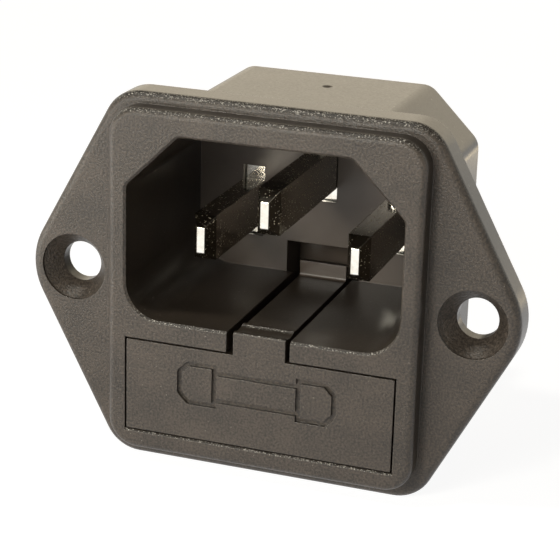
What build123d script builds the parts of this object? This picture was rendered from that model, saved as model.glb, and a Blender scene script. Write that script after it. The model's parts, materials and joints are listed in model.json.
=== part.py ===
from build123d import *
import os

os.makedirs("parts", exist_ok=True)

# A panel power inlet with a fuse drawer. X runs right along the two screws, Y runs into the panel, Z is up.
# The origin is midway between the screws, on the rear face of the flange, which lies on the panel.

# Panel flange, measured from the screws and from the rim
screw_pitch = 36.0
screw_hole_d = 3.6
countersink_d = 6.0
countersink_step = 0.25
countersink_angle = 74.0
flange_thickness = 3.0
flange_point_margin = 4.0
flange_point_r = 6.0
flange_side_ledge = 1.4
flange_top_ledge = 0.95
flange_bottom_ledge = 1.28
flange_corner_r = 3.5
flange_edge_r = 0.75

# Raised rim around the plug cavity and the drawer
rim_side_margin = 1.65
rim_top_margin = 2.15
rim_bottom_margin = 1.75
rim_rise = 1.8
rim_corner_r = 2.6
rim_edge_r = 0.6

# Plug cavity
cavity_width = 24.6
cavity_height = 16.5
cavity_floor_z = -3.2
cavity_chamfer = 4.7
cavity_chamfer_r = 0.8
cavity_corner_r = 3.2
cavity_mouth_bevel = 0.2
cavity_depth = 17.3

# Rear shell
side_wall = 1.05
top_wall = 2.0
bottom_wall = 1.5
back_wall = 2.9
shell_chamfer = 4.65
shell_corner_r = 1.8
shell_rear_bevel = 0.4
dimple_r = 1.1
dimple_depth = 0.13
dimple_x = 0.5
dimple_y = 10.2

# Fuse bay below the cavity, with the contact block behind it
lip_thickness = 1.8
bay_height = 8.7
bay_mouth_bevel = 0.15
chamber_side_gap = 0.6
chamber_height = 7.9
block_wall = 1.5
block_top_z = 0.6

# Drawer tongue's channel in the cavity floor and its window in the back wall
channel_width = 5.75
window_width = 7.1
window_height = 3.0

# Contact blades and sheet contacts
blade_width = 2.0
blade_height = 4.0
blade_spacing = 14.0
blade_row_z = 3.25
blade_tip_inset = 4.1
blade_tip_length = 1.2
blade_end_width = 0.7
blade_end_height = 2.3
earth_rise = 4.1
earth_tip_inset = 0.75
shoulder_height = 6.6
shoulder_recess = 0.6
sheet_thickness = 0.8
tab_width = 4.8
tab_length = 8.0
tab_corner = 1.0
tab_hole_d = 1.4
tenon_d = 1.6
tenon_head_d = 2.8
tenon_head_height = 0.5

# Fuses, lying across the drawer
fuse_d = 5.2
fuse_length = 20.0
fuse_cap_length = 5.4
fuse_cap_wall = 0.25
fuse_cap_end = 0.4
fuse_glass_wall = 0.5
fuse_wire_d = 0.3
clip_inset = 2.6
clip_room = 4.0
clip_bow = 1.6
clip_bend_r = 1.0

# Drawer
drawer_front_thickness = 1.8
spare_wall_share = 0.4
spare_mouth_width = 4.8
fuse_window_depth = 3.6
thumb_tab_width = 4.7
thumb_tab_rise = 0.1
thumb_tab_depth = 2.6
thumb_tab_edge_r = 0.2
thumb_scoop_width = 1.8
thumb_scoop_depth = 0.2
tongue_width = 4.5
tongue_step = 0.2
tongue_thickness = 1.2
tongue_offset = 0.1
hook_setback = 0.3
hook_height = 1.45
hook_length = 1.2
hook_root_r = 0.25
symbol_length = 14.5
symbol_cap_length = 3.65
symbol_cap_height = 4.0
symbol_body_height = 2.95
symbol_chamfer = 0.95
symbol_corner_r = 0.5
symbol_band = 0.45
symbol_depth = 0.3
symbol_x = -0.1
symbol_lift = 0.95

# Clearances
drawer_gap = 0.18
fuse_gap = 0.1
fit_gap = 0.05
contact_gap = 0.1

# Derived places
face_y = -(flange_thickness + rim_rise)
cavity_top_z = cavity_floor_z + cavity_height
cavity_back_y = face_y + cavity_depth
bay_width = cavity_width
shell_rear_y = cavity_back_y + back_wall
bay_top_z = cavity_floor_z - lip_thickness
bay_bottom_z = bay_top_z - bay_height
bay_mid_z = bay_top_z - bay_height / 2
bay_rear_y = shell_rear_y + sheet_thickness + 2 * fit_gap
strap_y = shell_rear_y + fit_gap + sheet_thickness / 2
block_rear_y = bay_rear_y + block_wall
rim_width = cavity_width + 2 * rim_side_margin
rim_top_z = cavity_top_z + rim_top_margin
rim_bottom_z = bay_bottom_z - rim_bottom_margin
flange_length = screw_pitch + 2 * flange_point_margin
flange_shoulder_width = rim_width + 2 * flange_side_ledge
flange_top_z = rim_top_z + flange_top_ledge
flange_bottom_z = rim_bottom_z - flange_bottom_ledge
chamber_bottom_z = bay_top_z - chamber_height
shell_width = cavity_width + 2 * side_wall
shell_top_z = cavity_top_z + top_wall
shell_bottom_z = bay_bottom_z - bottom_wall
earth_z = blade_row_z + earth_rise
trough_d = fuse_d + 2 * fuse_gap
crest_y = strap_y - clip_room
active_y = crest_y - sheet_thickness / 2 - contact_gap - fuse_d / 2
tray_front_y = face_y + drawer_front_thickness
tray_walls = active_y - tray_front_y - 1.5 * trough_d
spare_y = tray_front_y + spare_wall_share * tray_walls + trough_d / 2
tray_rear_y = active_y + trough_d / 4
clip_x = fuse_length / 2 - clip_inset
chamber_width = 2 * clip_x + tab_width + 2 * chamber_side_gap


def at_y(y):
    """Upright plane at depth y, with its X along the screws, its Y up and its normal towards the plug."""
    return Plane.XZ.offset(-y)


def at_x(x):
    """Upright plane at x, with its X into the panel and its Y up."""
    return Plane.YZ.offset(x)


# Housing: flange, rim, plug cavity, fuse bay and rear shell in one moulding
with BuildPart() as housing:
    with BuildSketch(at_y(0)):
        with GridLocations(flange_length - 2 * flange_point_r, 0, 2, 1):
            Circle(flange_point_r)
        with GridLocations(flange_shoulder_width - 2 * flange_corner_r, 0, 2, 1):
            with Locations((0, flange_top_z - flange_corner_r), (0, flange_bottom_z + flange_corner_r)):
                Circle(flange_corner_r)
        make_hull()
    extrude(amount=flange_thickness)
    fillet(housing.faces().sort_by(Axis.Y)[0].edges(), flange_edge_r)
    with BuildSketch(at_y(-flange_thickness)):
        with Locations((0, (rim_top_z + rim_bottom_z) / 2)):
            RectangleRounded(rim_width, rim_top_z - rim_bottom_z, rim_corner_r)
    extrude(amount=rim_rise)
    fillet(housing.faces().sort_by(Axis.Y)[0].edges(), rim_edge_r)

    # Rear shell, whose top corners follow the cavity
    with BuildSketch(at_y(0)) as shell_outline:
        with Locations((0, (shell_top_z + shell_bottom_z) / 2)):
            Rectangle(shell_width, shell_top_z - shell_bottom_z)
        chamfer(shell_outline.vertices().group_by(Axis.Y)[-1], shell_chamfer)
        fillet(shell_outline.vertices(), shell_corner_r)
    extrude(amount=-shell_rear_y)
    chamfer(housing.faces().sort_by(Axis.Y)[-1].edges(), shell_rear_bevel)
    with BuildSketch(at_y(shell_rear_y)):
        with Locations((0, (block_top_z + chamber_bottom_z - block_wall) / 2)):
            RectangleRounded(
                chamber_width + 2 * block_wall,
                block_top_z - chamber_bottom_z + block_wall,
                shell_corner_r,
            )
    extrude(amount=-(block_rear_y - shell_rear_y))

    # Screw holes, each with a short straight step above its cone
    with Locations(at_y(-flange_thickness)):
        with GridLocations(screw_pitch, 0, 2, 1):
            Hole(countersink_d / 2, depth=countersink_step)
    with Locations(at_y(countersink_step - flange_thickness)):
        with GridLocations(screw_pitch, 0, 2, 1):
            CounterSinkHole(
                screw_hole_d / 2,
                countersink_d / 2,
                depth=flange_thickness,
                counter_sink_angle=countersink_angle,
            )

    # Plug cavity
    with BuildSketch(at_y(face_y)) as cavity_outline:
        with Locations((0, cavity_floor_z + cavity_height / 2)):
            Rectangle(cavity_width, cavity_height)
        fillet(cavity_outline.vertices().group_by(Axis.Y)[0], cavity_corner_r)
        chamfer(cavity_outline.vertices().group_by(Axis.Y)[-1], cavity_chamfer)
        fillet(cavity_outline.vertices().group_by(Axis.Y)[-1], cavity_chamfer_r)
        fillet(cavity_outline.vertices().group_by(Axis.Y)[-3], cavity_chamfer_r)
    extrude(amount=-cavity_depth, mode=Mode.SUBTRACT)
    rim_face = housing.faces().filter_by(Axis.Y).sort_by(Axis.Y)[0]
    chamfer(rim_face.inner_wires().edges(), cavity_mouth_bevel)

    # Fuse bay, with a bevel along the foot of its mouth, and contact chamber
    with BuildSketch(at_y(face_y)):
        with Locations((0, bay_mid_z)):
            Rectangle(bay_width, bay_height)
    extrude(amount=-cavity_depth, mode=Mode.SUBTRACT)
    with BuildSketch(at_x(0)):
        with Locations((face_y, bay_bottom_z)):
            RegularPolygon(bay_mouth_bevel, 4)
    extrude(amount=bay_width / 2, both=True, mode=Mode.SUBTRACT)
    with BuildSketch(at_y(cavity_back_y)):
        with Locations((0, bay_top_z - chamber_height / 2)):
            Rectangle(chamber_width, chamber_height)
    extrude(amount=-(bay_rear_y - cavity_back_y), mode=Mode.SUBTRACT)

    # Channel for the drawer's tongue and its window in the back wall
    with BuildSketch(at_y(face_y)):
        with Locations((0, cavity_floor_z - lip_thickness / 2)):
            Rectangle(channel_width, lip_thickness + 2 * cavity_mouth_bevel)
    extrude(amount=-cavity_depth, mode=Mode.SUBTRACT)
    with BuildSketch(at_y(cavity_back_y)):
        with Locations((0, bay_top_z)):
            Rectangle(window_width, lip_thickness + window_height, align=(Align.CENTER, Align.MIN))
    extrude(amount=-(bay_rear_y - cavity_back_y), mode=Mode.SUBTRACT)

    # Slots that hold the blades' shoulders in the back wall
    with BuildSketch(at_y(cavity_back_y)):
        with Locations(
            (-blade_spacing / 2, blade_row_z), (blade_spacing / 2, blade_row_z), (0, earth_z)
        ):
            Rectangle(blade_width + 2 * fit_gap, shoulder_height + 2 * fit_gap)
    extrude(amount=-(block_rear_y - cavity_back_y), mode=Mode.SUBTRACT)

    # Slot for the feed strap down into the chamber, and slot for the load tab out of it
    with BuildSketch(Plane.XY.offset(bay_top_z)):
        with Locations((-clip_x, strap_y)):
            Rectangle(tab_width + 2 * fit_gap, sheet_thickness + 2 * fit_gap)
    extrude(amount=block_top_z - bay_top_z, mode=Mode.SUBTRACT)
    with BuildSketch(at_y(bay_rear_y)):
        with Locations((clip_x, bay_top_z - 2 * sheet_thickness)):
            Rectangle(tab_width + 2 * fit_gap, sheet_thickness + 2 * fit_gap)
    extrude(amount=-block_wall, mode=Mode.SUBTRACT)

    # Moulding dimple on top of the shell
    with Locations((dimple_x, dimple_y, shell_top_z + dimple_r - dimple_depth)):
        Sphere(dimple_r, mode=Mode.SUBTRACT)
housing.part.label = "housing"
export_step(housing.part, "parts/housing.step")


def make_blade(x, z, tip_inset):
    """Flat blade with a tapered tip in the cavity and a taller shoulder held in the back wall."""
    tip_y = face_y + tip_inset
    shoulder_y = cavity_back_y + shoulder_recess
    with BuildPart() as blade:
        with BuildSketch(at_y(tip_y)):
            with Locations((x, z)):
                Rectangle(blade_end_width, blade_end_height)
        with BuildSketch(at_y(tip_y + blade_tip_length)):
            with Locations((x, z)):
                Rectangle(blade_width, blade_height)
        loft()
        with BuildSketch(at_y(tip_y + blade_tip_length)):
            with Locations((x, z)):
                Rectangle(blade_width, blade_height)
        extrude(amount=-(shoulder_y - tip_y - blade_tip_length))
        with BuildSketch(at_y(shoulder_y)):
            with Locations((x, z)):
                Rectangle(blade_width, shoulder_height)
        extrude(amount=-(shell_rear_y - shoulder_y))
    return blade.part


# Line blade: a round tenon behind the wall is peened over the feed strap
with BuildPart() as line_blade:
    add(make_blade(-blade_spacing / 2, blade_row_z, blade_tip_inset))
    with BuildSketch(at_y(shell_rear_y)):
        with Locations((-blade_spacing / 2, blade_row_z)):
            Circle(tenon_d / 2)
    extrude(amount=-(sheet_thickness + 2 * fit_gap))
    with BuildSketch(at_y(shell_rear_y + sheet_thickness + 2 * fit_gap)):
        with Locations((-blade_spacing / 2, blade_row_z)):
            Circle(tenon_head_d / 2)
    extrude(amount=-tenon_head_height)
line_blade.part.label = "line_blade"
export_step(line_blade.part, "parts/line_blade.step")

# Neutral and earth blades: each runs on behind the wall as an upright tab
for name, x, z, tip_inset in (
    ("neutral_blade", blade_spacing / 2, blade_row_z, blade_tip_inset),
    ("earth_blade", 0, earth_z, earth_tip_inset),
):
    with BuildPart() as tabbed_blade:
        add(make_blade(x, z, tip_inset))
        with BuildSketch(at_x(x)) as tab_outline:
            with Locations((shell_rear_y, z)):
                Rectangle(tab_length, tab_width, align=(Align.MIN, Align.CENTER))
            chamfer(tab_outline.vertices().group_by(Axis.X)[-1], tab_corner)
            with Locations((shell_rear_y + tab_length / 2, z)):
                Circle(tab_hole_d / 2, mode=Mode.SUBTRACT)
        extrude(amount=sheet_thickness / 2, both=True)
    tabbed_blade.part.label = name
    export_step(tabbed_blade.part, f"parts/{name}.step")

# Fuse clips: a strip bent along the chamber's back and floor, then bowed up behind the fuse's cap
foot_z = chamber_bottom_z + fit_gap + sheet_thickness / 2
load_tab_z = bay_top_z - 2 * sheet_thickness
load_tab_end_y = block_rear_y + tab_length
bow_points = [
    (strap_y, foot_z),
    (crest_y + clip_bow, foot_z),
    (crest_y, bay_mid_z),
    (crest_y + clip_bow, bay_mid_z + 0.7 * (bay_mid_z - foot_z)),
]

with BuildPart() as fuse_feed_clip:
    with BuildSketch(at_x(-clip_x)):
        with BuildLine():
            FilletPolyline((strap_y, blade_row_z + tab_width / 2), *bow_points, radius=clip_bend_r)
        trace(line_width=sheet_thickness)
    extrude(amount=tab_width / 2, both=True)
    with BuildSketch(at_y(shell_rear_y)):
        with Locations((-blade_spacing / 2, blade_row_z)):
            Circle(tenon_d / 2 + fit_gap)
    extrude(amount=-(sheet_thickness + 2 * fit_gap), mode=Mode.SUBTRACT)
fuse_feed_clip.part.label = "fuse_feed_clip"
export_step(fuse_feed_clip.part, "parts/fuse_feed_clip.step")

with BuildPart() as fuse_load_clip:
    with BuildSketch(at_x(clip_x)):
        with BuildLine():
            FilletPolyline(
                (load_tab_end_y, load_tab_z),
                (strap_y, load_tab_z),
                *bow_points,
                radius=[bay_rear_y - strap_y, clip_bend_r, clip_bend_r, clip_bend_r],
            )
        trace(line_width=sheet_thickness)
    extrude(amount=tab_width / 2, both=True)
    chamfer(fuse_load_clip.edges().group_by(Axis.Y)[-1].filter_by(Axis.Z), tab_corner)
    with BuildSketch(Plane.XY.offset(load_tab_z)):
        with Locations((clip_x, block_rear_y + tab_length / 2)):
            Circle(tab_hole_d / 2)
    extrude(amount=sheet_thickness, both=True, mode=Mode.SUBTRACT)
fuse_load_clip.part.label = "fuse_load_clip"
export_step(fuse_load_clip.part, "parts/fuse_load_clip.step")

# Drawer: front with its thumb tab, latch tongue over the tray, and troughs for two fuses
thumb_tab_top_z = cavity_floor_z + thumb_tab_rise
tongue_top_z = thumb_tab_top_z - tongue_step
tray_width = bay_width - 2 * drawer_gap
tray_height = bay_height - 2 * drawer_gap
tray_top_z = bay_top_z - drawer_gap
symbol_z = bay_mid_z + symbol_lift
symbol_body_length = symbol_length - 2 * symbol_cap_length
hook_y = cavity_back_y - hook_setback
tongue_length = hook_y + hook_length - face_y - thumb_tab_depth

with BuildPart() as fuse_drawer:
    with BuildSketch(at_y(face_y)):
        with Locations((0, bay_mid_z)):
            Rectangle(tray_width, tray_height)
    extrude(amount=-(tray_rear_y - face_y))

    # Troughs: the spare fuse snaps in from below, the active fuse from behind
    with BuildSketch(at_x(0)):
        with Locations((spare_y, bay_mid_z)):
            Circle(trough_d / 2)
            Rectangle(spare_mouth_width, tray_height, align=(Align.CENTER, Align.MAX))
        with Locations((active_y, bay_mid_z)):
            Circle(trough_d / 2)
    extrude(amount=fuse_length / 2 + fuse_gap, both=True, mode=Mode.SUBTRACT)
    with BuildSketch(Plane.XY.offset(tray_top_z)):
        with Locations((0, spare_y), (0, active_y)):
            Rectangle(fuse_length - 2 * fuse_cap_length, fuse_window_depth)
    extrude(amount=-tray_height / 2, mode=Mode.SUBTRACT)

    # Thumb tab with a scoop for the nail
    with BuildSketch(at_y(face_y)):
        with Locations((tongue_offset, tray_top_z)):
            Rectangle(thumb_tab_width, thumb_tab_top_z - tray_top_z, align=(Align.CENTER, Align.MIN))
    extrude(amount=-thumb_tab_depth)
    fillet(fuse_drawer.edges().filter_by(Axis.X).group_by(Axis.Z)[-1].sort_by(Axis.Y)[0], thumb_tab_edge_r)
    with BuildSketch(at_x(tongue_offset)):
        with Locations((face_y + thumb_tab_depth / 2, thumb_tab_top_z)):
            Ellipse(thumb_scoop_width / 2, thumb_scoop_depth)
    extrude(amount=thumb_tab_width / 2, both=True, mode=Mode.SUBTRACT)

    # Tongue and hook
    with BuildSketch(at_x(tongue_offset)):
        with Locations((face_y + thumb_tab_depth, tongue_top_z)):
            Rectangle(tongue_length, tongue_thickness, align=(Align.MIN, Align.MAX))
        with Locations((hook_y, tongue_top_z)):
            Rectangle(hook_length, hook_height, align=(Align.MIN, Align.MIN))
        with Locations((hook_y - hook_root_r, tongue_top_z)):
            Rectangle(hook_root_r, hook_root_r, align=(Align.MIN, Align.MIN))
            with Locations((0, hook_root_r)):
                Circle(hook_root_r, mode=Mode.SUBTRACT)
    extrude(amount=tongue_width / 2, both=True)
    hook_edge = fuse_drawer.edges().filter_by(Axis.X).group_by(Axis.Z)[-1].sort_by(Axis.Y)[-1]
    chamfer(hook_edge, hook_length / 2)

    # Outline of a fuse, sunk into the front
    with BuildSketch(at_y(face_y)) as symbol:
        with Locations((symbol_x, symbol_z)):
            Rectangle(symbol_length, symbol_cap_height)
        chamfer(symbol.vertices(), symbol_chamfer)
        fillet(symbol.vertices(), symbol_corner_r)
        with Locations((symbol_x, symbol_z)):
            with GridLocations(0, symbol_body_height + symbol_cap_height, 1, 2):
                Rectangle(symbol_body_length, symbol_cap_height, mode=Mode.SUBTRACT)
        offset(amount=-symbol_band, kind=Kind.INTERSECTION, mode=Mode.SUBTRACT)
        with Locations((symbol_x, symbol_z)):
            with GridLocations(symbol_body_length + symbol_band, 0, 2, 1):
                Rectangle(symbol_band, symbol_body_height)
    extrude(amount=-symbol_depth, mode=Mode.SUBTRACT)
fuse_drawer.part.label = "fuse_drawer"
export_step(fuse_drawer.part, "parts/fuse_drawer.step")

# Fuses: a glass tube with a wire on its axis and a metal cap on each end
cap_bore_r = fuse_d / 2 - fuse_cap_wall
glass_r = cap_bore_r - fit_gap
inner_length = fuse_length - 2 * fuse_cap_end - 2 * fit_gap

for fuse_name, fuse_y in (("active", active_y), ("spare", spare_y)):
    with BuildPart() as fuse_glass:
        with BuildSketch(at_x(0)):
            with Locations((fuse_y, bay_mid_z)):
                Circle(glass_r)
                Circle(glass_r - fuse_glass_wall, mode=Mode.SUBTRACT)
        extrude(amount=inner_length / 2, both=True)
    fuse_glass.part.label = f"{fuse_name}_fuse_glass"
    export_step(fuse_glass.part, f"parts/{fuse_name}_fuse_glass.step")

    with BuildPart() as fuse_wire:
        with BuildSketch(at_x(0)):
            with Locations((fuse_y, bay_mid_z)):
                Circle(fuse_wire_d / 2)
        extrude(amount=inner_length / 2, both=True)
    fuse_wire.part.label = f"{fuse_name}_fuse_wire"
    export_step(fuse_wire.part, f"parts/{fuse_name}_fuse_wire.step")

    for side_name, side in (("left", -1), ("right", 1)):
        with BuildPart() as fuse_cap:
            with BuildSketch(at_x(side * fuse_length / 2)):
                with Locations((fuse_y, bay_mid_z)):
                    Circle(fuse_d / 2)
            extrude(amount=-side * fuse_cap_length)
            with BuildSketch(at_x(side * (fuse_length / 2 - fuse_cap_end))):
                with Locations((fuse_y, bay_mid_z)):
                    Circle(cap_bore_r)
            extrude(amount=-side * fuse_cap_length, mode=Mode.SUBTRACT)
        fuse_cap.part.label = f"{fuse_name}_fuse_cap_{side_name}"
        export_step(fuse_cap.part, f"parts/{fuse_name}_fuse_cap_{side_name}.step")
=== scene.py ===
import json
import math

import bpy
from mathutils import Matrix, Vector


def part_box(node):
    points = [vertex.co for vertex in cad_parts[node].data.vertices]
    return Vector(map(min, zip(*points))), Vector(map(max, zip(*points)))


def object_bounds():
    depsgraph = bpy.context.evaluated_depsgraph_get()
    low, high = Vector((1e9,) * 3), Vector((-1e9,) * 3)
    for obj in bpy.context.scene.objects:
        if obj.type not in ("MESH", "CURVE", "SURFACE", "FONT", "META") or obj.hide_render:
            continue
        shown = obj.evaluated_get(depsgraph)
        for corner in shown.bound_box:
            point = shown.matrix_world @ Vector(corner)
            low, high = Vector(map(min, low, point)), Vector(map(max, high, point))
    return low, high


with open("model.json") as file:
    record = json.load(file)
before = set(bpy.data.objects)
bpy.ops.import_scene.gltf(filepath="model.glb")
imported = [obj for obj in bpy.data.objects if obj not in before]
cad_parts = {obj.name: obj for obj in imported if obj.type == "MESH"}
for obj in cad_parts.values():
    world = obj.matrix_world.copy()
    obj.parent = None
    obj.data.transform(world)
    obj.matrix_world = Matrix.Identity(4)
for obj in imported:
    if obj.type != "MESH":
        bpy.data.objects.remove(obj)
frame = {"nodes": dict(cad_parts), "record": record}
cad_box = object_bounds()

MM = 0.001

# Places on the part where its surface changes
CAVITY_DEPTH = 17.3 * MM
BACK_WALL = 2.9 * MM
COUNTERSINK_R = 3.0 * MM
SCREW_MARGIN = 0.1 * MM
WALL_FADE = 0.5 * MM
RIM_FRONT_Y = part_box("housing")[0].y
BACK_WALL_Y = RIM_FRONT_Y + CAVITY_DEPTH
SHELL_REAR_Y = BACK_WALL_Y + BACK_WALL
PANEL_SCREWS = next(mount for mount in frame["record"]["mounts"] if mount["name"] == "panel_screws")
SCREW_X = PANEL_SCREWS["dims"]["spacing_x_mm"] / 2 * MM

# Camera of the photograph, in the part's frame
IMAGE_WIDTH_PX = 560
FOCAL_LENGTH_PX = 1910.7
SENSOR_WIDTH = 36.0
CLIP_START = 10.0 * MM
CAMERA_PLACE = Vector((50.98, -146.88, 54.67)) * MM
CAMERA_AZIMUTH = math.radians(19.09)
CAMERA_TILT = math.radians(70.76)
CAMERA_ROLL = math.radians(1.71)

# Colours of the surfaces, linear
WHITE = (1.0, 1.0, 1.0, 1.0)
GRAINED_DARK = (0.030, 0.024, 0.019, 1.0)
GRAINED_LIGHT = (0.084, 0.066, 0.052, 1.0)
POLISHED_DARK = (0.034, 0.026, 0.020, 1.0)
POLISHED_LIGHT = (0.048, 0.038, 0.029, 1.0)
# Painted light: lighter colours for front faces deep in the cavity, chiefly the back wall, in place of
# light reaching them
PAINTED_LIT_WALL_DARK = (0.094, 0.074, 0.060, 1.0)
PAINTED_LIT_WALL_LIGHT = (0.118, 0.094, 0.076, 1.0)
# Painted shade: dark colour on the upper fillets of the outside, where little light from above falls
PAINTED_FILLET_SHADE_COLOUR = (0.012, 0.010, 0.008, 1.0)
# Painted highlight: bright spots on the upper fillets, standing in for glints of the top lamp
PAINTED_GLINT = (0.50, 0.47, 0.42, 1.0)
# Pale colour of dust specks, and of outer edges as wear and painted edge highlight
DUST_AND_EDGE_HIGHLIGHT = (0.22, 0.20, 0.17, 1.0)
NICKEL_BRIGHT = (0.90, 0.87, 0.80, 1.0)
NICKEL_DULL = (0.70, 0.65, 0.56, 1.0)
# Painted shade: darker plating for blade sides inside the cavity, which reflect dark plastic
NICKEL_PAINTED_SHADE = (0.36, 0.33, 0.28, 1.0)
NICKEL_SPECK = (0.90, 0.80, 0.58, 1.0)

# Limits of a mask, and noise levels between which a pattern sets in
MASK_LIMITS = (0.0, 1.0)
NOISE_SPREAD = (0.3, 0.7)
GRAIN_LEVELS = (0.40, 0.60)
PAINTED_GLINT_LEVELS = (0.54, 0.68)
DUST_LEVELS = (0.75, 0.80)
PLATING_LEVELS = (0.3, 0.6)
SPECK_LEVELS = (0.68, 0.74)

# Rounding of sharp edges in the shading, and the cosines of the normal's turn from edge to flat face
BEVEL_SAMPLES = 6
EDGE_TURN = (0.8, 1.0)

# Moulded plastic: limits by place, and by the Y or Z share of the surface's normal
GRAIN_END_Y = (4.0 * MM, 7.0 * MM)
SCREW_SURROUND_R = (COUNTERSINK_R + SCREW_MARGIN, COUNTERSINK_R + 2 * SCREW_MARGIN)
FRONT_SLOPE = (-0.5, -0.05)
UPWARD_SLOPE = (0.4, 0.65)
FILLET_FRONT_SLOPE = (-0.97, -0.88)
FILLET_SIDE_SLOPE = (-0.3, -0.15)

# Moulded plastic: sizes, shares and roughness
PLASTIC_EDGE_R = 0.1 * MM
PATCH_SIZE = 4.0 * MM
GRAIN_SIZE = 0.2 * MM
GRAIN_DEPTH = 0.06 * MM
GRAIN_SHARE = 0.7
POLISHED_GRAIN = 0.06
PAINTED_GLINT_SIZE = 0.14 * MM
PAINTED_FILLET_SHADE_SHARE = 0.55
DUST_SIZE = 0.25 * MM
DUST_SHARE = 0.8
WEAR_AND_EDGE_HIGHLIGHT_SHARES = (0.05, 0.3)
PLASTIC_ROUGHNESS = (0.28, 0.36)
FRONT_EXTRA_ROUGHNESS = 0.1
WORN_LESS_ROUGHNESS = 0.14

# Plated metal: limits by place and by the Y share of the normal, sizes and roughness
BACK_WALL_FADE_Y = (BACK_WALL_Y - WALL_FADE, BACK_WALL_Y)
SHELL_REAR_FADE_Y = (SHELL_REAR_Y - WALL_FADE, SHELL_REAR_Y)
BLADE_SIDE_SLOPE = (-0.95, -0.8)
METAL_EDGE_R = 0.12 * MM
DULL_PATCH_SIZE = 1.2 * MM
SPECK_SIZE = 0.16 * MM
SPECK_HEIGHT = 0.04 * MM
MARK_SIZE = 0.08 * MM
MARK_STRETCH = (1.0, 14.0, 1.0)
MARK_DEPTH = 0.004 * MM
BLADE_ROUGHNESS = 0.1
CLIP_ROUGHNESS = 0.25
CAP_ROUGHNESS = 0.15
WIRE_ROUGHNESS = 0.3
MARK_EXTRA_ROUGHNESS = 0.06
REAR_EXTRA_ROUGHNESS = 0.15
SPECK_EXTRA_ROUGHNESS = 0.4

# Glass of the fuses
GLASS_IOR = 1.5
SMEAR_SIZE = 1.5 * MM
GLASS_ROUGHNESS = (0.02, 0.08)

# Studio
WALL_COLOUR = (1.0, 0.97, 0.88, 1.0)
WORLD_STRENGTH = 0.12
CEILING_STRENGTH = 0.15
CEILING_EDGE = (0.4, 0.65)
FLOOR_SIZE = 3.0
FLOOR_GLOW = 0.92
FLOOR_SHADE = 0.25
FLOOR_WHITE = 0.8
FLOOR_ROUGHNESS = 0.9
SEEN_RAYS = ("Is Camera Ray", "Is Glossy Ray", "Is Transmission Ray")

# Lamps: place and size in millimetres, power in watts, colour
KEY_COLOUR = (1.0, 0.97, 0.88)
SIDE_COLOUR = (1.0, 0.86, 0.68)
BACK_COLOUR = (1.0, 0.80, 0.48)
LAMPS = {
    "key": ((-45, -125, 52), (30, 30), 0.076, KEY_COLOUR),
    "front": ((-15, -130, 60), (40, 40), 0.04, KEY_COLOUR),
    "left": ((-110, -70, -12), (100, 8), 0.062, KEY_COLOUR),
    "right": ((150, -200, 10), (100, 100), 0.012, SIDE_COLOUR),
    "top": ((-90, -70, 270), (25, 25), 0.26, KEY_COLOUR),
    "back": ((-30, 270, 100), (360, 160), 0.16, BACK_COLOUR),
    "back_right": ((45, 105, -11), (60, 9), 0.0042, BACK_COLOUR),
}


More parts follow.
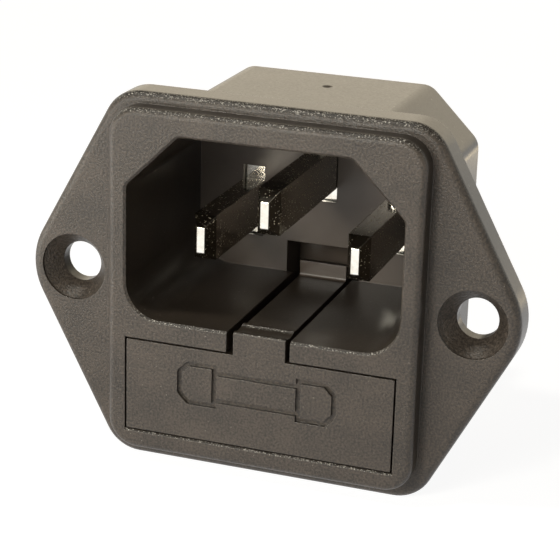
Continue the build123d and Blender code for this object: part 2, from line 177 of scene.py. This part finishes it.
class Nodes:
    """Node tree of a material or world, with short ways to add and link its nodes."""

    def __init__(self, owner, shader):
        owner.use_nodes = True
        self.owner = owner
        self.tree = owner.node_tree
        self.shader = self.tree.nodes[shader]
        coordinates = self.add("ShaderNodeTexCoord").outputs
        self.place = coordinates["Object"]
        self.facing = coordinates["Normal"]
        self.direction = coordinates["Generated"]

    def feed(self, socket, value):
        """Gives a socket the output of another node, or a fixed number, colour or vector."""
        if isinstance(value, bpy.types.NodeSocket):
            self.tree.links.new(value, socket)
        else:
            socket.default_value = value

    def give(self, name, value):
        """Feeds an input of the shader."""
        self.feed(self.shader.inputs[name], value)

    def add(self, kind, inputs=None, **properties):
        """New node with these properties, and with inputs given by name or number."""
        node = self.tree.nodes.new(kind)
        for name, value in properties.items():
            setattr(node, name, value)
        for key, value in (inputs or {}).items():
            self.feed(node.inputs[key], value)
        return node

    def noise(self, size, detail=2.0, roughness=0.5, stretch=(1.0, 1.0, 1.0)):
        """Noise with features of about this size, drawn out along an axis where stretch is over 1."""
        scale = [1.0 / (size * factor) for factor in stretch]
        place = self.add("ShaderNodeMapping", {"Vector": self.place, "Scale": scale}).outputs["Vector"]
        inputs = {"Vector": place, "Scale": 1.0, "Detail": detail, "Roughness": roughness}
        return self.add("ShaderNodeTexNoise", inputs).outputs["Fac"]

    def ramp(self, value, limits, low_colour, high_colour):
        """Colour that runs from one to the other while the value runs between the limits."""
        node = self.add("ShaderNodeValToRGB", {"Fac": value})
        for element, place, colour in zip(node.color_ramp.elements, limits, (low_colour, high_colour)):
            element.position = place
            element.color = colour
        return node.outputs["Color"]

    def scale(self, value, limits, low, high):
        """Number that runs from low to high while the value runs between the limits."""
        inputs = {
            "Value": value,
            "From Min": limits[0],
            "From Max": limits[1],
            "To Min": low,
            "To Max": high,
        }
        return self.add("ShaderNodeMapRange", inputs).outputs["Result"]

    def rise(self, value, limits):
        return self.scale(value, limits, 0.0, 1.0)

    def fall(self, value, limits):
        return self.scale(value, limits, 1.0, 0.0)

    def chain(self, operation, result, *others):
        """One operation on several outputs or numbers, taken in turn."""
        for other in others:
            node = self.add("ShaderNodeMath", {0: result, 1: other}, operation=operation)
            result = node.outputs["Value"]
        return result

    def product(self, *values):
        return self.chain("MULTIPLY", *values)

    def total(self, *values):
        return self.chain("ADD", *values)

    def blend(self, share, first, second):
        """Colour between two others."""
        inputs = {"Factor": share, "A": first, "B": second}
        return self.add("ShaderNodeMix", inputs, data_type="RGBA").outputs["Result"]

    def share(self, vector, axis):
        """Share of a vector along one axis of the part: Y goes into the panel and Z up."""
        return self.add("ShaderNodeSeparateXYZ", {"Vector": vector}).outputs[axis]

    def vector(self, operation, *values):
        """Outputs of one operation on vectors."""
        inputs = dict(enumerate(values))
        return self.add("ShaderNodeVectorMath", inputs, operation=operation).outputs

    def from_screws(self):
        """Distance from the axis of the nearer screw hole."""
        across = self.vector("MULTIPLY", self.place, (1.0, 0.0, 1.0))["Vector"]
        mirrored = self.vector("ABSOLUTE", across)["Vector"]
        return self.vector("DISTANCE", mirrored, (SCREW_X, 0.0, 0.0))["Value"]

    def bevel(self, radius):
        """Normal that rounds sharp edges."""
        return self.add("ShaderNodeBevel", {"Radius": radius}, samples=BEVEL_SAMPLES).outputs["Normal"]

    def edges(self, rounded):
        """1 along the edges that a bevel rounds, 0 on flat faces."""
        normal = self.add("ShaderNodeNewGeometry").outputs["Normal"]
        return self.fall(self.vector("DOT_PRODUCT", rounded, normal)["Value"], EDGE_TURN)

    def bump(self, height, depth, normal):
        """Normal of a surface with this relief on it."""
        inputs = {"Strength": 1.0, "Distance": depth, "Height": height, "Normal": normal}
        return self.add("ShaderNodeBump", inputs).outputs["Normal"]

    def seen(self):
        """1 for rays that show a surface, also in metal or glass, and 0 for those that only light."""
        path = self.add("ShaderNodeLightPath").outputs
        return self.chain("MAXIMUM", *(path[name] for name in SEEN_RAYS))


def new_material(name):
    return Nodes(bpy.data.materials.new(name), "Principled BSDF")


def moulded_plastic(name):
    """Dark plastic: grained outer front, polished sides, painted light on front faces deep in the cavity,
    and painted shade and painted glints on upper fillets.
    """
    nodes = new_material(name)
    rounded = nodes.bevel(PLASTIC_EDGE_R)

    # Kinds of surface, each 1 where it is and 0 elsewhere
    slope = nodes.share(nodes.facing, "Y")
    facing = nodes.fall(slope, FRONT_SLOPE)
    upward = nodes.rise(nodes.share(nodes.facing, "Z"), UPWARD_SLOPE)
    outside = nodes.fall(nodes.share(nodes.place, "Y"), GRAIN_END_Y)
    off_screws = nodes.rise(nodes.from_screws(), SCREW_SURROUND_R)
    sloping = nodes.product(nodes.rise(slope, FILLET_FRONT_SLOPE), nodes.fall(slope, FILLET_SIDE_SLOPE))
    fillet = nodes.product(sloping, off_screws, outside, upward)
    front = nodes.product(facing, outside)
    edges = nodes.product(nodes.edges(rounded), outside)

    # Colour: the clean plastic with painted light deep in the cavity, then painted shade on upper fillets,
    # dust, pale outer edges as wear and painted edge highlight, and painted glints
    patches = nodes.noise(PATCH_SIZE, detail=4.0)
    grain = nodes.noise(GRAIN_SIZE, roughness=0.6)
    mottle = nodes.total(nodes.product(grain, GRAIN_SHARE), nodes.product(patches, 1.0 - GRAIN_SHARE))
    grained = nodes.ramp(mottle, GRAIN_LEVELS, GRAINED_DARK, GRAINED_LIGHT)
    polished = nodes.ramp(patches, NOISE_SPREAD, POLISHED_DARK, POLISHED_LIGHT)
    # Painted light: front faces deep in the cavity, chiefly the back wall, take these lighter colours in
    # place of light reaching them
    painted_lit_wall = nodes.ramp(patches, NOISE_SPREAD, PAINTED_LIT_WALL_DARK, PAINTED_LIT_WALL_LIGHT)
    clean_and_painted_lit_wall = nodes.blend(facing, polished, nodes.blend(outside, painted_lit_wall, grained))
    # Painted shade: the upper fillets of the outside, away from the screw holes, are darkened where little
    # light falls
    painted_shaded = nodes.blend(nodes.product(fillet, PAINTED_FILLET_SHADE_SHARE), clean_and_painted_lit_wall, PAINTED_FILLET_SHADE_COLOUR)
    dust = nodes.scale(nodes.noise(DUST_SIZE, detail=1.0), DUST_LEVELS, 0.0, DUST_SHARE)
    # Outer edges lightened, partly as wear and partly as painted highlight of light caught on the edges
    wear_and_edge_highlight = nodes.product(edges, nodes.scale(grain, GRAIN_LEVELS, *WEAR_AND_EDGE_HIGHLIGHT_SHARES))
    dusty_and_edge_lit = nodes.blend(nodes.chain("MAXIMUM", dust, wear_and_edge_highlight), painted_shaded, DUST_AND_EDGE_HIGHLIGHT)
    # Painted glints: scattered bright spots on the upper fillets stand in for light glinting on the grain
    painted_glints = nodes.product(nodes.rise(nodes.noise(PAINTED_GLINT_SIZE), PAINTED_GLINT_LEVELS), fillet)
    nodes.give("Base Color", nodes.blend(painted_glints, dusty_and_edge_lit, PAINTED_GLINT))

    # Roughness and relief
    dull = nodes.total(
        nodes.scale(grain, NOISE_SPREAD, *PLASTIC_ROUGHNESS),
        nodes.product(front, FRONT_EXTRA_ROUGHNESS),
    )
    nodes.give("Roughness", nodes.chain("SUBTRACT", dull, nodes.product(edges, WORN_LESS_ROUGHNESS)))
    height = nodes.product(grain, nodes.scale(front, MASK_LIMITS, POLISHED_GRAIN, 1.0))
    nodes.give("Normal", nodes.bump(height, GRAIN_DEPTH, rounded))
    return nodes.owner


def plated_metal(name, roughness):
    """Bright plating with dull patches and marks along Y; before the back wall its sides are darker as
    painted shade, and specked.
    """
    nodes = new_material(name)
    nodes.give("Metallic", 1.0)
    depth = nodes.share(nodes.place, "Y")
    inside = nodes.fall(depth, BACK_WALL_FADE_Y)
    sides = nodes.product(nodes.rise(nodes.share(nodes.facing, "Y"), BLADE_SIDE_SLOPE), inside)

    # Colour
    patches = nodes.noise(DULL_PATCH_SIZE, detail=4.0)
    plating = nodes.ramp(patches, PLATING_LEVELS, NICKEL_DULL, NICKEL_BRIGHT)
    # Painted shade: sides before the back wall are darkened in place of the dark plastic they reflect
    painted_shade_plating = nodes.blend(sides, plating, NICKEL_PAINTED_SHADE)
    specks = nodes.product(nodes.rise(nodes.noise(SPECK_SIZE, detail=1.0), SPECK_LEVELS), sides)
    nodes.give("Base Color", nodes.blend(specks, painted_shade_plating, NICKEL_SPECK))

    # Roughness and relief
    marks = nodes.noise(MARK_SIZE, stretch=MARK_STRETCH)
    drawn = nodes.scale(marks, NOISE_SPREAD, roughness, roughness + MARK_EXTRA_ROUGHNESS)
    behind = nodes.scale(depth, SHELL_REAR_FADE_Y, 0.0, REAR_EXTRA_ROUGHNESS)
    frosted = nodes.product(specks, SPECK_EXTRA_ROUGHNESS)
    nodes.give("Roughness", nodes.total(drawn, behind, frosted))
    raised = nodes.bump(specks, SPECK_HEIGHT, nodes.bevel(METAL_EDGE_R))
    nodes.give("Normal", nodes.bump(marks, MARK_DEPTH, raised))
    return nodes.owner


def clear_glass(name):
    """Clear tube glass with faint smears."""
    nodes = new_material(name)
    nodes.give("Transmission Weight", 1.0)
    nodes.give("IOR", GLASS_IOR)
    nodes.give("Roughness", nodes.scale(nodes.noise(SMEAR_SIZE), NOISE_SPREAD, *GLASS_ROUGHNESS))
    return nodes.owner


def floor_white(name):
    """Plain white, which mostly glows where it is seen and only reflects where it lights the part."""
    nodes = new_material(name)
    nodes.give("Roughness", FLOOR_ROUGHNESS)
    nodes.give("Specular IOR Level", 0.0)
    nodes.give("Emission Color", WHITE)
    seen = nodes.seen()
    nodes.give("Base Color", nodes.scale(seen, MASK_LIMITS, FLOOR_WHITE, FLOOR_SHADE))
    nodes.give("Emission Strength", nodes.scale(seen, MASK_LIMITS, 0.0, FLOOR_GLOW))
    return nodes.owner


def dress(material, *names):
    """Gives CAD nodes this material in place of their own."""
    for name in names:
        materials = frame["nodes"][name].data.materials
        materials.clear()
        materials.append(material)


def dress_fuses():
    cap = plated_metal("fuse_cap_metal", CAP_ROUGHNESS)
    wire = plated_metal("fuse_wire", WIRE_ROUGHNESS)
    glass = clear_glass("fuse_glass")
    for fuse in ("active", "spare"):
        dress(cap, f"{fuse}_fuse_cap_left", f"{fuse}_fuse_cap_right")
        dress(wire, f"{fuse}_fuse_wire")
        dress(glass, f"{fuse}_fuse_glass")


def add_object(name, data):
    thing = bpy.data.objects.new(name, data)
    bpy.context.scene.collection.objects.link(thing)
    return thing


def add_camera():
    data = bpy.data.cameras.new("camera")
    data.sensor_width = SENSOR_WIDTH
    data.lens = SENSOR_WIDTH * FOCAL_LENGTH_PX / IMAGE_WIDTH_PX
    data.clip_start = CLIP_START
    camera = add_object("camera", data)
    camera.matrix_world = (
        Matrix.Translation(CAMERA_PLACE)
        @ Matrix.Rotation(CAMERA_AZIMUTH, 4, "Z")
        @ Matrix.Rotation(CAMERA_TILT, 4, "X")
        @ Matrix.Rotation(CAMERA_ROLL, 4, "Z")
    )
    bpy.context.scene.camera = camera


def add_softbox(name, place_mm, size_mm, power, colour):
    """Rectangular lamp turned towards the part, unseen by the camera itself."""
    data = bpy.data.lights.new(name, "AREA")
    data.shape = "RECTANGLE"
    data.size, data.size_y = (side * MM for side in size_mm)
    data.energy = power
    data.color = colour
    lamp = add_object(name, data)
    lamp.location = Vector(place_mm) * MM
    lamp.rotation_euler = (-lamp.location).to_track_quat("-Z", "Y").to_euler()
    lamp.visible_camera = False


def add_world():
    """Pale walls under a dim ceiling, seen at full strength and lighting the part more softly."""
    world = bpy.data.worlds.new("studio")
    nodes = Nodes(world, "Background")
    walls = nodes.scale(nodes.share(nodes.direction, "Z"), CEILING_EDGE, 1.0, CEILING_STRENGTH)
    level = nodes.scale(nodes.seen(), MASK_LIMITS, WORLD_STRENGTH, 1.0)
    nodes.give("Color", WALL_COLOUR)
    nodes.give("Strength", nodes.product(walls, level))
    bpy.context.scene.world = world


def add_floor():
    """Floor under the flange, which keeps the part's soft shadow."""
    mesh = bpy.data.meshes.new("floor")
    half = FLOOR_SIZE / 2
    z = cad_box[0][2]
    corners = [(-half, -half, z), (half, -half, z), (half, half, z), (-half, half, z)]
    mesh.from_pydata(corners, [], [(0, 1, 2, 3)])
    mesh.materials.append(floor_white("floor_white"))
    floor = add_object("floor", mesh)


dress(moulded_plastic("housing_plastic"), "housing")
dress(moulded_plastic("drawer_plastic"), "fuse_drawer")
dress(plated_metal("blade_plating", BLADE_ROUGHNESS), "line_blade", "neutral_blade", "earth_blade")
dress(plated_metal("clip_metal", CLIP_ROUGHNESS), "fuse_feed_clip", "fuse_load_clip")
dress_fuses()
add_camera()
add_world()
add_floor()
for lamp_name, lamp_values in LAMPS.items():
    add_softbox(lamp_name, *lamp_values)
bpy.context.scene.view_settings.view_transform = "Standard"
